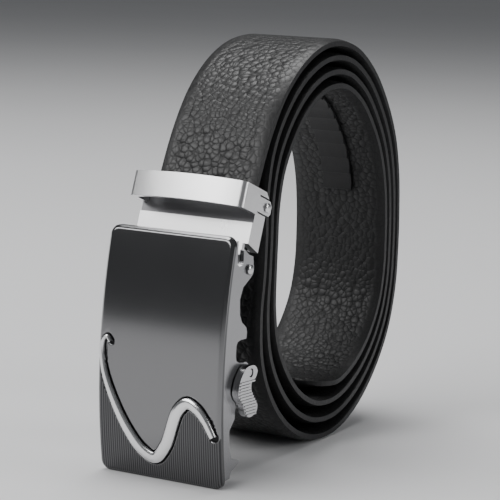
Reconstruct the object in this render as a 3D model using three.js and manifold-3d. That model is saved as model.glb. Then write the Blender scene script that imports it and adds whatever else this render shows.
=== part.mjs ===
// A leather ratchet belt, rolled up and standing on its rim, with its automatic buckle.
// Millimetres, +Z up, -Y is the buckle's face, +X is the side with the release lever.
import * as THREE from 'three';
import Module from 'manifold-3d';
import { mergeVertices } from 'three/addons/utils/BufferGeometryUtils.js';

const wasm = await Module();
wasm.setup();

// Clearance between neighbouring pieces.
const CLEARANCE = 0.3;

// Strap: section, free end and ratchet track.
const STRAP_WIDTH = 35;
const STRAP_THICKNESS = 3;
const STRAP_EDGE_THICKNESS = 1.6;
const STRAP_SHOULDER = 3.2;
const STRAP_TIP_RADIUS = 12;
const STRAP_STEP = 7.8;
const TRACK_WIDTH = 11;
const TRACK_BASE = 0.7;
const TRACK_TOOTH_HEIGHT = 0.9;
const TRACK_TOOTH_PITCH = 6.35;
const TRACK_LENGTH = 201;
const TRACK_TO_TIP = 90;

// Roll: its height, and the loosest gap between two turns.
const ROLL_HEIGHT = 134;
const ROLL_LOOSEST_GAP = 2.7;
const ROLL_BEHIND_CLAMP = 0.9;
const ROLL_TURNS = 3.75;
const ROLL_JOIN_ANGLE = 140;
const CLAMP_ANGLE = 175;
const SAMPLES_PER_TURN = 24;

// The roll's outline, going from the clamp over the top: reach is the outer face's distance from the
// roll's middle as a share of half its height, slack the gap between turns as a share of the loosest.
const ROLL_SHAPE = [
  { angle: 180, reach: 0.706, slack: 0.0 },
  { angle: 135, reach: 0.927, slack: 0.56 },
  { angle: 90, reach: 1.0, slack: 0.48 },
  { angle: 45, reach: 0.858, slack: 0.26 },
  { angle: 0, reach: 0.766, slack: 0.0 },
  { angle: -45, reach: 0.896, slack: 0.26 },
  { angle: -90, reach: 1.0, slack: 0.81 },
  { angle: -135, reach: 0.91, slack: 1.0 },
];

// Cover plate and its wave.
const COVER_WIDTH = 44;
const COVER_LENGTH = 77.2;
const COVER_THICKNESS = 2.2;
const COVER_BULGE = 4.3;
const COVER_CHAMFER = 0.9;
const COVER_CORNER = 3;
const COVER_LEAN = 2.3;
const WAVE_WIDTH = 3.6;
const WAVE_HEIGHT = 1.3;
const WAVE_GROOVE_DEPTH = 0.7;

// The wave's centre line on the cover: across from the left and down from the top as shares of the
// cover, and the ridge's breadth there as a share of its full width.
const WAVE_LINE = [
  { across: 0.108, down: 0.462, breadth: 0.3 },
  { across: 0.074, down: 0.443, breadth: 0.32 },
  { across: 0.041, down: 0.466, breadth: 0.38 },
  { across: 0.054, down: 0.56, breadth: 0.48 },
  { across: 0.12, down: 0.668, breadth: 0.66 },
  { across: 0.25, down: 0.806, breadth: 0.86 },
  { across: 0.375, down: 0.888, breadth: 1 },
  { across: 0.475, down: 0.908, breadth: 1 },
  { across: 0.565, down: 0.852, breadth: 1 },
  { across: 0.67, down: 0.7, breadth: 1 },
  { across: 0.745, down: 0.664, breadth: 0.94 },
  { across: 0.82, down: 0.682, breadth: 0.84 },
  { across: 0.885, down: 0.722, breadth: 0.74 },
  { across: 0.95, down: 0.785, breadth: 0.66 },
];

// Buckle box: its walls and base.
const BOX_WIDTH = 40;
const BOX_WALL = 1.4;
const BOX_DEPTH = 15.5;
const BOX_END_MARGIN = 1.6;
const LUG_RADIUS = 3.1;
const SLOT_WIDTH = 3.6;
const SLOT_BEHIND_FACE = 7.8;

// The rear edge of a side wall below the lever's lug: back as a share of the box's depth, up as a
// share of the lever pin's height.
const LOW_EDGE = [
  { back: 0.5, up: 0.06 },
  { back: 0.55, up: 0.12 },
  { back: 0.83, up: 0.175 },
  { back: 0.85, up: 0.205 },
  { back: 0.54, up: 0.24 },
  { back: 0.43, up: 0.36 },
  { back: 0.4, up: 0.5 },
  { back: 0.58, up: 0.59 },
  { back: 0.62, up: 0.8 },
];

// Its rear edge between the two lugs, up as a share of the way from the lever pin to the pivot pin.
const HIGH_EDGE = [
  { back: 0.64, up: 0.105 },
  { back: 0.54, up: 0.125 },
  { back: 0.515, up: 0.165 },
  { back: 0.51, up: 0.27 },
  { back: 0.55, up: 0.31 },
  { back: 0.67, up: 0.325 },
  { back: 0.89, up: 0.325 },
  { back: 0.905, up: 0.385 },
  { back: 0.87, up: 0.435 },
  { back: 0.68, up: 0.495 },
  { back: 0.59, up: 0.57 },
  { back: 0.555, up: 0.72 },
  { back: 0.66, up: 0.835 },
  { back: 0.9, up: 0.905 },
];

// Pins.
const PIN_RADIUS = 1.1;
const PIN_HEAD_RADIUS = 1.6;
const PIN_HEAD_HEIGHT = 0.9;
const PIVOT_BEHIND_FACE = 13.2;
const PIVOT_HEIGHT = 66.3;
const LEVER_BEHIND_FACE = 13.6;
const LEVER_HEIGHT = 34.6;

// Clamp, in its own frame: y into the roll, z up the strap, zero on the pivot pin.
const CLAMP_LEAN = 20;
const CLAMP_STRAP_MIDDLE = -0.8;
const CLAMP_PLATE = 1;
const CLAMP_SIDE = 1.8;
const CLAMP_PROUD = 0.2;
const CLAMP_FLOOR = 3.6;
const CLAMP_LENGTH = 24.7;
const FLANGE_START = 5.8;
const FLANGE_SLOPE = 1.4;
const KEEPER_GAP = 7;
const KEEPER_BAR = 1.5;
const KEEPER_HEIGHT = 8;
const KEEPER_BOW = 3;
const KEEPER_CORNER = 1.6;
const LIP_HEIGHT = 13.8;
const LIP_STEP = 0.5;
const KNUCKLE_RADIUS = 2.7;
const LID_THICKNESS = 2;
const LID_BARREL_RADIUS = 1.9;
const TAB_FROM_END = 2.2;
const TAB_LENGTH = 4.7;
const TAB_OVERHANG = 1;
const TAB_SLIT = 0.5;
const RIVET_RADIUS = 0.9;
const RIVET_LENGTH = 4.6;

// Release lever.
const LEVER_HUB_RADIUS = 2.4;
const LEVER_REACH = 12;
const LEVER_PLATE = 2;
const CRANK_FROM_PIN = 8;
const CRANK_HEIGHT = 2.6;
const PAD_DEPTH = 12;
const PAD_LENGTH = 16;
const PAD_THICKNESS = 2.2;
const PAD_RIB_PITCH = 0.95;
const PAD_RIB_HEIGHT = 0.3;
const PAD_RIB_MARGIN = 0.8;

// The thumb pad's outline from the side: back and down from the pin as shares of its depth and length.
const PAD_OUTLINE = [
  { back: -0.262, down: -0.119 },
  { back: -0.433, down: 0 },
  { back: -0.567, down: 0.15 },
  { back: -0.617, down: 0.362 },
  { back: -0.525, down: 0.481 },
  { back: -0.367, down: 0.569 },
  { back: -0.275, down: 0.706 },
  { back: -0.15, down: 0.819 },
  { back: 0.017, down: 0.869 },
  { back: 0.192, down: 0.856 },
  { back: 0.375, down: 0.794 },
  { back: 0.408, down: 0.669 },
  { back: 0.217, down: 0.512 },
  { back: 0.042, down: 0.325 },
  { back: 0.058, down: 0.175 },
  { back: 0.233, down: 0.125 },
  { back: 0.333, down: -0.012 },
  { back: 0.183, down: -0.125 },
  { back: -0.033, down: -0.144 },
];

// Facets of round shapes.
const ROUND = 24;

const radians = THREE.MathUtils.degToRad;

const finish = (color, roughness, metalness) =>
  new THREE.MeshStandardMaterial({ color, roughness, metalness });
const LEATHER = finish(0x17171a, 0.55, 0);
const TRACK_PLASTIC = finish(0x0d0d0e, 0.6, 0);
const POLISHED = finish(0xe8e9ea, 0.15, 1);
const GUNMETAL = finish(0x4a4b4e, 0.35, 1);
const STEEL = finish(0xb9bbbe, 0.3, 1);

// A closed body lofted through rings of points, each ring counter-clockwise seen from the last one.
function loft(rings) {
  const count = rings[0].length;
  const positions = rings.flat().flatMap((point) => [point.x, point.y, point.z]);
  const indices = [];
  for (let ring = 0; ring < rings.length - 1; ring += 1) {
    for (let k = 0; k < count; k += 1) {
      const a = ring * count + k;
      const b = ring * count + ((k + 1) % count);
      indices.push(a, b, b + count, a, b + count, a + count);
    }
  }
  const last = (rings.length - 1) * count;
  for (let k = 1; k < count - 1; k += 1) {
    indices.push(0, k + 1, k);
    indices.push(last, last + k, last + k + 1);
  }
  const geometry = new THREE.BufferGeometry();
  geometry.setAttribute('position', new THREE.Float32BufferAttribute(positions, 3));
  geometry.setIndex(indices);
  return geometry;
}

function solid(geometry) {
  const bare = geometry.clone();
  bare.deleteAttribute('normal');
  bare.deleteAttribute('uv');
  const merged = mergeVertices(bare, 1e-4);
  return new wasm.Manifold(new wasm.Mesh({
    numProp: 3,
    vertProperties: new Float32Array(merged.attributes.position.array),
    triVerts: new Uint32Array(merged.index.array),
  }));
}

function geometryOf(body) {
  const mesh = body.getMesh();
  const geometry = new THREE.BufferGeometry();
  geometry.setAttribute('position', new THREE.BufferAttribute(new Float32Array(mesh.vertProperties), 3));
  geometry.setIndex(new THREE.BufferAttribute(new Uint32Array(mesh.triVerts), 1));
  return geometry;
}

const join = (...parts) => parts.reduce((body, part) => body.add(part));
const cut = (body, ...tools) => tools.reduce((rest, tool) => rest.subtract(tool), body);

function box(x0, x1, y0, y1, z0, z1) {
  const geometry = new THREE.BoxGeometry(x1 - x0, y1 - y0, z1 - z0);
  geometry.translate((x0 + x1) / 2, (y0 + y1) / 2, (z0 + z1) / 2);
  return solid(geometry);
}

// A round bar along X.
function barX(x0, x1, y, z, radius) {
  const geometry = new THREE.CylinderGeometry(radius, radius, x1 - x0, ROUND);
  geometry.rotateZ(Math.PI / 2);
  geometry.translate((x0 + x1) / 2, y, z);
  return solid(geometry);
}

// An outline in the YZ plane, drawn with (y, z), extruded from x0 to x1.
function extrudeX(shape, x0, x1, curveSegments = 6) {
  const geometry = new THREE.ExtrudeGeometry(shape, { depth: x1 - x0, bevelEnabled: false, curveSegments });
  const toYZ = new THREE.Matrix4().set(0, 0, 1, x0, 1, 0, 0, 0, 0, 1, 0, 0, 0, 0, 0, 1);
  geometry.applyMatrix4(toYZ);
  return solid(geometry);
}

// An outline in the XY plane extruded from z0 to z1.
function extrudeZ(shape, z0, z1, curveSegments = 6) {
  const geometry = new THREE.ExtrudeGeometry(shape, { depth: z1 - z0, bevelEnabled: false, curveSegments });
  geometry.translate(0, 0, z0);
  return solid(geometry);
}

function polygon(points) {
  return new THREE.Shape(points.map(([a, b]) => new THREE.Vector2(a, b)));
}

// A pin along X from x0 to x1, with a domed head past x1 and, unless one end is bare, past x0 too.
function pinGeometry(x0, x1, radius, headRadius, headHeight, bareEnd = false) {
  const domeSteps = 5;
  const rimHeight = headHeight * 0.35;
  const head = (end, outward) => {
    const points = [new THREE.Vector2(headRadius, end)];
    for (let k = domeSteps; k >= 0; k -= 1) {
      const turn = (k / domeSteps) * (Math.PI / 2);
      const height = rimHeight + (headHeight - rimHeight) * Math.cos(turn);
      points.push(new THREE.Vector2(headRadius * Math.sin(turn), end + outward * height));
    }
    return points;
  };
  const start = bareEnd ? [new THREE.Vector2(0, x0)] : head(x0, -1).reverse();
  const profile = [...start, new THREE.Vector2(radius, x0), new THREE.Vector2(radius, x1), ...head(x1, 1)];
  const geometry = new THREE.LatheGeometry(profile, ROUND);
  geometry.rotateZ(-Math.PI / 2);
  return geometry;
}

// Buckle frame: y = 0 on the chord of the cover's face, z = 0 on its lower edge.
const coverArc = (z) => {
  const share = (2 * z) / COVER_LENGTH - 1;
  return -COVER_BULGE * (1 - share * share);
};

function coverGeometry() {
  const heights = [];
  const cornerSteps = 4;
  for (let k = 0; k <= cornerSteps; k += 1) {
    heights.push(COVER_CORNER * (1 - Math.cos((k / cornerSteps) * (Math.PI / 2))));
  }
  const middle = 12;
  const straight = COVER_LENGTH - 2 * COVER_CORNER;
  for (let k = 1; k < middle; k += 1) heights.push(COVER_CORNER + (straight * k) / middle);
  for (let k = cornerSteps; k >= 0; k -= 1) {
    heights.push(COVER_LENGTH - COVER_CORNER * (1 - Math.cos((k / cornerSteps) * (Math.PI / 2))));
  }
  const rings = heights.map((z) => {
    const fromEnd = Math.min(z, COVER_LENGTH - z);
    const inCorner = Math.max(0, COVER_CORNER - fromEnd);
    const round = COVER_CORNER - Math.sqrt(Math.max(0, COVER_CORNER ** 2 - inCorner ** 2));
    const half = COVER_WIDTH / 2 - round;
    const front = coverArc(z) + Math.max(0, COVER_CHAMFER - fromEnd);
    const rim = coverArc(z) + COVER_CHAMFER;
    const rear = coverArc(z) + COVER_THICKNESS;
    const inner = half - COVER_CHAMFER;
    return [[half, rear], [-half, rear], [-half, rim], [-inner, front], [inner, front], [half, rim]]
      .map(([x, y]) => new THREE.Vector3(x, y, z));
  });
  return loft(rings);
}

// The wave's ridge, or the groove that it lies in, swept along its line on the cover's face.
function waveGeometry(margin, front, rear) {
  const points = WAVE_LINE.map(({ across, down }) =>
    new THREE.Vector3((across - 0.5) * COVER_WIDTH, 0, (1 - down) * COVER_LENGTH));
  const curve = new THREE.CatmullRomCurve3(points);
  const ringsPerRow = 4;
  const steps = (WAVE_LINE.length - 1) * ringsPerRow;
  const rings = [];
  for (let k = 0; k <= steps; k += 1) {
    const centre = curve.getPoint(k / steps);
    const along = curve.getTangent(k / steps);
    const side = new THREE.Vector3(-along.z, 0, along.x);
    const row = Math.min(Math.floor(k / ringsPerRow), WAVE_LINE.length - 2);
    const [last, next] = [WAVE_LINE[row].breadth, WAVE_LINE[row + 1].breadth];
    const half = (WAVE_WIDTH * THREE.MathUtils.lerp(last, next, k / ringsPerRow - row)) / 2 + margin;
    const crown = half * 0.4;
    const shoulder = rear + (front - rear) * 0.6;
    const section = [[-half, rear], [half, rear], [half, shoulder], [crown, front],
      [-crown, front], [-half, shoulder]];
    rings.push(section.map(([offset, out]) => {
      const point = centre.clone().addScaledVector(side, offset);
      point.y = coverArc(point.z) - out;
      return point;
    }));
  }
  return loft(rings);
}

// The box's front, which follows the rear of the cover.
const boxFront = (z) => coverArc(z) + COVER_THICKNESS + CLEARANCE;
const boxLow = BOX_END_MARGIN;
const boxHigh = COVER_LENGTH - BOX_END_MARGIN;

// One side wall's outline: the front follows the cover, the rear has the lugs, the scallops and a slot.
function boxWallShape() {
  const shape = new THREE.Shape();
  const steps = 14;
  shape.moveTo(boxFront(boxHigh), boxHigh);
  for (let k = 1; k <= steps; k += 1) {
    const z = boxHigh + ((boxLow - boxHigh) * k) / steps;
    shape.lineTo(boxFront(z), z);
  }
  LOW_EDGE.forEach(({ back, up }) => shape.lineTo(back * BOX_DEPTH, Math.max(up * LEVER_HEIGHT, boxLow)));
  shape.absarc(LEVER_BEHIND_FACE, LEVER_HEIGHT, LUG_RADIUS, -Math.PI * 0.75, Math.PI * 0.6, false);
  const between = PIVOT_HEIGHT - LEVER_HEIGHT;
  HIGH_EDGE.forEach(({ back, up }) => shape.lineTo(back * BOX_DEPTH, LEVER_HEIGHT + up * between));
  shape.absarc(PIVOT_BEHIND_FACE, PIVOT_HEIGHT, LUG_RADIUS, -Math.PI * 0.2, Math.PI * 0.15, false);
  const slotRear = SLOT_BEHIND_FACE + SLOT_WIDTH / 2;
  const slotFront = SLOT_BEHIND_FACE - SLOT_WIDTH / 2;
  const slotMiddle = PIVOT_HEIGHT + LUG_RADIUS;
  shape.lineTo(PIVOT_BEHIND_FACE + LUG_RADIUS * 0.75, PIVOT_HEIGHT + LUG_RADIUS * 1.25);
  shape.lineTo(PIVOT_BEHIND_FACE - LUG_RADIUS * 0.15, PIVOT_HEIGHT + LUG_RADIUS * 1.5);
  shape.lineTo(slotRear + CLEARANCE * 2, PIVOT_HEIGHT + LUG_RADIUS * 2.05);
  shape.lineTo(slotRear, PIVOT_HEIGHT + LUG_RADIUS * 2);
  shape.absarc(SLOT_BEHIND_FACE, slotMiddle, SLOT_WIDTH / 2, 0, Math.PI, true);
  shape.lineTo(slotFront, boxHigh);
  shape.closePath();
  return shape;
}

function boxGeometry() {
  const half = BOX_WIDTH / 2;
  const wall = boxWallShape();
  const base = new THREE.Shape();
  const steps = 14;
  base.moveTo(boxFront(boxHigh), boxHigh);
  for (let k = 1; k <= steps; k += 1) {
    const z = boxHigh + ((boxLow - boxHigh) * k) / steps;
    base.lineTo(boxFront(z), z);
  }
  for (let k = 0; k <= steps; k += 1) {
    const z = boxLow + ((boxHigh - boxLow) * k) / steps;
    base.lineTo(boxFront(z) + BOX_WALL, z);
  }
  base.closePath();
  const body = join(
    extrudeX(wall, half - BOX_WALL, half),
    extrudeX(wall, -half, -half + BOX_WALL),
    extrudeX(base, -half + BOX_WALL / 2, half - BOX_WALL / 2),
  );
  const bore = PIN_RADIUS + CLEARANCE;
  return geometryOf(cut(body,
    barX(-half - 1, half + 1, PIVOT_BEHIND_FACE, PIVOT_HEIGHT, bore),
    barX(-half - 1, half + 1, LEVER_BEHIND_FACE, LEVER_HEIGHT, bore)));
}

// Lever: a hub on its pin, the toothed plate inside the box and the thumb pad outside the right wall.
function leverGeometry() {
  const inside = BOX_WIDTH / 2 - BOX_WALL - CLEARANCE;
  const outside = BOX_WIDTH / 2 + CLEARANCE;
  const y = LEVER_BEHIND_FACE;
  const z = LEVER_HEIGHT;
  const hub = LEVER_HUB_RADIUS;
  const reach = LEVER_REACH;
  const plate = polygon([
    [y + hub * 0.9, z], [y + hub * 0.9, z - reach * 0.75], [y - hub * 0.6, z - reach],
    [y - hub * 1.75, z - reach * 0.97], [y - hub * 1.4, z - reach * 0.86],
    [y + hub * 0.9 - LEVER_PLATE, z - reach * 0.7], [y - hub * 0.9, z],
  ]);
  const outline = new THREE.CatmullRomCurve3(PAD_OUTLINE.map(({ back, down }) =>
    new THREE.Vector3(y + back * PAD_DEPTH, z - down * PAD_LENGTH, 0)), true);
  const pad = extrudeX(polygon(outline.getPoints(PAD_OUTLINE.length * 2).slice(1).map((p) => [p.x, p.y])),
    outside, outside + PAD_THICKNESS);
  const padEnd = outside + PAD_THICKNESS;
  const low = z - Math.max(...PAD_OUTLINE.map(({ down }) => down)) * PAD_LENGTH;
  const ribCount = Math.floor((z - LEVER_HUB_RADIUS - low) / PAD_RIB_PITCH);
  const ribs = [];
  for (let k = 0; k < ribCount; k += 1) {
    const ribZ = low + PAD_RIB_PITCH * (k + 0.9);
    const across = outline.getPoints(PAD_OUTLINE.length * 6)
      .filter((point) => Math.abs(point.y - ribZ) < PAD_RIB_PITCH).map((point) => point.x);
    ribs.push(box(padEnd - PAD_RIB_HEIGHT, padEnd + PAD_RIB_HEIGHT, Math.min(...across) + PAD_RIB_MARGIN,
      Math.max(...across) - PAD_RIB_MARGIN, ribZ - PAD_RIB_PITCH * 0.26, ribZ + PAD_RIB_PITCH * 0.26));
  }
  const crankLow = z - CRANK_FROM_PIN - CRANK_HEIGHT;
  const crank = box(inside - BOX_WALL, outside + PAD_THICKNESS / 2, y - hub * 0.3, y + hub * 0.9,
    crankLow, crankLow + CRANK_HEIGHT);
  const body = join(
    extrudeX(plate, -inside, inside),
    barX(-inside, inside, y, z, hub),
    pad,
    crank,
    ...ribs,
  );
  return geometryOf(cut(body, barX(-inside - 1, padEnd + 1, y, z, PIN_RADIUS + CLEARANCE)));
}

// Clamp frame: y into the roll, z up the strap, zero on the pivot pin.
const strapFront = CLAMP_STRAP_MIDDLE - STRAP_THICKNESS / 2;
const strapRear = CLAMP_STRAP_MIDDLE + STRAP_THICKNESS / 2;
const plateRear = strapFront - CLEARANCE;
const plateFront = plateRear - CLAMP_PLATE;
const lipFront = plateFront - LIP_STEP;
const clampInnerHalf = STRAP_WIDTH / 2 + CLEARANCE;
const clampOuterHalf = BOX_WIDTH / 2 + CLAMP_PROUD;
const lidFront = strapRear + CLEARANCE;
const lidRear = lidFront + LID_THICKNESS;
const rivetY = lidFront + LID_BARREL_RADIUS;
const tabHigh = CLAMP_LENGTH - TAB_FROM_END;
const tabLow = tabHigh - TAB_LENGTH;
const tabRear = rivetY + LID_BARREL_RADIUS + TAB_OVERHANG;
const rivetZ = (tabLow + tabHigh) / 2;
const keeperFront = plateFront - KEEPER_GAP - KEEPER_BAR;

// The keeper seen along the strap: a bowed bar and its two legs.
function keeperShape() {
  const shape = new THREE.Shape();
  const half = clampOuterHalf;
  const corner = KEEPER_CORNER;
  shape.moveTo(-half, plateRear);
  shape.lineTo(-half, keeperFront + corner);
  shape.quadraticCurveTo(-half, keeperFront, -half + corner, keeperFront - corner * 0.3);
  shape.quadraticCurveTo(0, keeperFront - 2 * KEEPER_BOW, half - corner, keeperFront - corner * 0.3);
  shape.quadraticCurveTo(half, keeperFront, half, keeperFront + corner);
  shape.lineTo(half, plateRear);
  const inner = half - CLAMP_SIDE;
  const barRear = keeperFront + KEEPER_BAR;
  shape.lineTo(inner, plateRear);
  shape.lineTo(inner, barRear + corner);
  shape.quadraticCurveTo(inner, barRear, inner - corner, barRear - corner * 0.3);
  shape.quadraticCurveTo(0, barRear - 2 * KEEPER_BOW, -inner + corner, barRear - corner * 0.3);
  shape.quadraticCurveTo(-inner, barRear, -inner, barRear + corner);
  shape.lineTo(-inner, plateRear);
  shape.closePath();
  return shape;
}

function clampGeometry() {
  const inBox = BOX_WIDTH / 2 - BOX_WALL - CLEARANCE;
  const inSides = (clampInnerHalf + clampOuterHalf) / 2;
  const flangeFront = FLANGE_START + FLANGE_SLOPE;
  const keeperLow = CLAMP_LENGTH - KEEPER_HEIGHT;
  const flange = polygon([
    [lipFront, flangeFront], [lidRear, FLANGE_START], [lidRear, tabLow - TAB_SLIT],
    [plateRear, tabLow - TAB_SLIT], [plateFront, keeperLow], [plateFront, LIP_HEIGHT],
    [lipFront, LIP_HEIGHT],
  ]);
  const round = TAB_OVERHANG;
  const tab = polygon([
    [plateFront, tabLow], [tabRear - round, tabLow], [tabRear, tabLow + round],
    [tabRear, tabHigh - round * 1.4], [tabRear - round * 1.4, tabHigh], [plateFront, tabHigh],
  ]);
  const top = polygon([
    [plateFront, tabHigh + TAB_SLIT], [tabRear - 2.5 * round, tabHigh + TAB_SLIT],
    [lidFront, CLAMP_LENGTH], [plateFront, CLAMP_LENGTH],
  ]);
  const web = polygon([
    [plateFront, CLAMP_FLOOR + CLAMP_PLATE], [-KNUCKLE_RADIUS, CLAMP_FLOOR * 0.6],
    [-KNUCKLE_RADIUS * 0.8, -KNUCKLE_RADIUS * 0.4], [KNUCKLE_RADIUS * 0.7, 0],
    [lidFront, CLAMP_FLOOR * 0.7], [lidFront, CLAMP_FLOOR], [plateRear, CLAMP_FLOOR],
  ]);
  const sides = [flange, tab, top].flatMap((shape) =>
    [extrudeX(shape, clampInnerHalf, clampOuterHalf), extrudeX(shape, -clampOuterHalf, -clampInnerHalf)]);
  const body = join(
    box(-inBox, inBox, lipFront, plateRear, CLAMP_FLOOR, flangeFront + CLAMP_PLATE),
    box(-clampOuterHalf, clampOuterHalf, lipFront, plateRear, flangeFront, LIP_HEIGHT),
    box(-inSides, inSides, plateFront, plateRear, LIP_HEIGHT - CLAMP_PLATE, CLAMP_LENGTH),
    extrudeX(web, -inBox, inBox),
    barX(-inBox, inBox, 0, 0, KNUCKLE_RADIUS),
    extrudeZ(keeperShape(), keeperLow, CLAMP_LENGTH, 10),
    ...sides,
  );
  return geometryOf(cut(body,
    barX(-inBox - 1, inBox + 1, 0, 0, PIN_RADIUS + CLEARANCE),
    barX(-clampOuterHalf - 1, clampOuterHalf + 1, rivetY, rivetZ, RIVET_RADIUS + CLEARANCE)));
}

// The lid: a plate behind the strap with a barrel that turns on the two rivets.
function lidGeometry() {
  const half = clampInnerHalf - CLEARANCE;
  const body = join(
    box(-half, half, lidFront, lidRear, FLANGE_START, tabHigh),
    barX(-half, half, rivetY, rivetZ, LID_BARREL_RADIUS),
  );
  const bore = RIVET_RADIUS + CLEARANCE;
  const deep = half - RIVET_LENGTH;
  return geometryOf(cut(body,
    barX(deep, half + 1, rivetY, rivetZ, bore),
    barX(-half - 1, -deep, rivetY, rivetZ, bore)));
}

// The strap's middle line in the YZ plane, from the clamp to the free end.
const pitchOf = (slack) => STRAP_THICKNESS + CLEARANCE + slack * ROLL_LOOSEST_GAP;

// A smooth value round the roll from one column of its table.
function around(values, turns) {
  const count = values.length;
  const place = (((turns % 1) + 1) % 1) * count;
  const index = Math.floor(place);
  const t = place - index;
  const at = (k) => values[(index + k + count) % count];
  const slopeA = (at(1) - at(-1)) / 2;
  const slopeB = (at(2) - at(0)) / 2;
  const t2 = t * t;
  const t3 = t2 * t;
  return (2 * t3 - 3 * t2 + 1) * at(0) + (t3 - 2 * t2 + t) * slopeA
    + (-2 * t3 + 3 * t2) * at(1) + (t3 - t2) * slopeB;
}

const rollBases = ROLL_SHAPE.map(({ angle, reach, slack }) => {
  const turns = angle === 180 ? (CLAMP_ANGLE + 180) / 360 : (CLAMP_ANGLE - angle) / 360;
  return (reach * ROLL_HEIGHT) / 2 + pitchOf(slack) * turns;
});
const rollPitches = ROLL_SHAPE.map(({ slack }) => pitchOf(slack));

// The outer face's point after so many turns from the clamp.
function rollPoint(turns, inward) {
  const angle = CLAMP_ANGLE - turns * 360;
  const share = (180 - angle) / 360;
  const reach = around(rollBases, share) - around(rollPitches, share) * turns - inward;
  return new THREE.Vector2(reach * Math.cos(radians(angle)), reach * Math.sin(radians(angle)));
}

function inClamp(y, z) {
  const lean = radians(CLAMP_LEAN);
  return new THREE.Vector3(0, y * Math.cos(lean) + z * Math.sin(lean),
    z * Math.cos(lean) - y * Math.sin(lean));
}

function onBuckle(y, z) {
  const lean = radians(COVER_LEAN);
  return new THREE.Vector3(0, y * Math.cos(lean) + z * Math.sin(lean),
    z * Math.cos(lean) - y * Math.sin(lean) + COVER_THICKNESS * Math.sin(lean));
}

const pivot = onBuckle(PIVOT_BEHIND_FACE, PIVOT_HEIGHT);

// The roll stands on the lowest point of its first turn, and its second turn passes behind the clamp.
const fine = 5 * SAMPLES_PER_TURN;
const firstTurn = Array.from({ length: fine + 1 }, (_, k) => rollPoint(k / fine, 0));
const secondTurn = Array.from({ length: fine + 1 }, (_, k) => rollPoint(0.75 + k / (2 * fine), 0));
const rollLift = -Math.min(...firstTurn.map((point) => point.y));
const frontAt = (z) => {
  const k = secondTurn.findIndex((point, index) => index > 0 && point.y + rollLift >= z);
  const [a, b] = [secondTurn[k - 1], secondTurn[k]];
  return THREE.MathUtils.lerp(a.x, b.x, (z - rollLift - a.y) / (b.y - a.y));
};
const behindClamp = [
  inClamp(lidRear, FLANGE_START),
  inClamp(tabRear, tabLow + TAB_OVERHANG),
  inClamp(tabRear, tabHigh - TAB_OVERHANG),
].map((corner) => corner.add(pivot));
const rollMiddle = new THREE.Vector3(0,
  Math.max(...behindClamp.map((corner) => corner.y - frontAt(corner.z))) + ROLL_BEHIND_CLAMP, rollLift);

function strapCurve() {
  const points = [];
  const inClampSteps = 4;
  const first = CLAMP_FLOOR + 1;
  for (let k = 0; k <= inClampSteps; k += 1) {
    const z = first + ((CLAMP_LENGTH - first) * k) / inClampSteps;
    points.push(pivot.clone().add(inClamp(CLAMP_STRAP_MIDDLE, z)));
  }
  const joinTurns = (CLAMP_ANGLE - ROLL_JOIN_ANGLE) / 360;
  const samples = Math.round((ROLL_TURNS - joinTurns) * SAMPLES_PER_TURN);
  for (let k = 0; k <= samples; k += 1) {
    const turns = joinTurns + ((ROLL_TURNS - joinTurns) * k) / samples;
    const place = rollPoint(turns, STRAP_THICKNESS / 2);
    points.push(new THREE.Vector3(0, rollMiddle.y + place.x, rollMiddle.z + place.y));
  }
  const curve = new THREE.CatmullRomCurve3(points);
  curve.arcLengthDivisions = points.length * 12;
  return curve;
}

const strapLine = strapCurve();
const strapLength = strapLine.getLength();

// The frame on the strap's middle line at a length from the clamp: its point and outward direction.
function strapFrame(length) {
  const share = THREE.MathUtils.clamp(length / strapLength, 0, 1);
  const point = strapLine.getPointAt(share);
  const along = strapLine.getTangentAt(share);
  return { point, out: new THREE.Vector3(0, -along.z, along.y) };
}

function strapGeometry() {
  const lengths = [];
  const bodyLength = strapLength - STRAP_TIP_RADIUS;
  const steps = Math.round(bodyLength / STRAP_STEP);
  for (let k = 0; k <= steps; k += 1) lengths.push((bodyLength * k) / steps);
  const tipSteps = 5;
  for (let k = 1; k <= tipSteps; k += 1) {
    lengths.push(bodyLength + STRAP_TIP_RADIUS * Math.sin((k / tipSteps) * (Math.PI / 2)));
  }
  const edge = STRAP_EDGE_THICKNESS / 2;
  const face = STRAP_THICKNESS / 2;
  const rings = lengths.map((length) => {
    const { point, out } = strapFrame(length);
    const past = Math.max(0, length - bodyLength);
    const round = STRAP_TIP_RADIUS - Math.sqrt(Math.max(0, STRAP_TIP_RADIUS ** 2 - past ** 2));
    const half = STRAP_WIDTH / 2 - round * 0.92;
    const flat = half - STRAP_SHOULDER;
    const bend = half - STRAP_SHOULDER * 0.25;
    const section = [
      [half, edge], [bend, (edge + face) / 2 + 0.08], [flat, face],
      [-flat, face], [-bend, (edge + face) / 2 + 0.08], [-half, edge],
      [-half, -edge], [-bend, -(edge + face) / 2 - 0.15], [-flat, -face],
      [flat, -face], [bend, -(edge + face) / 2 - 0.15], [half, -edge],
    ];
    return section.map(([x, height]) => point.clone().addScaledVector(out, height).setX(x)).reverse();
  });
  return loft(rings);
}

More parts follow.
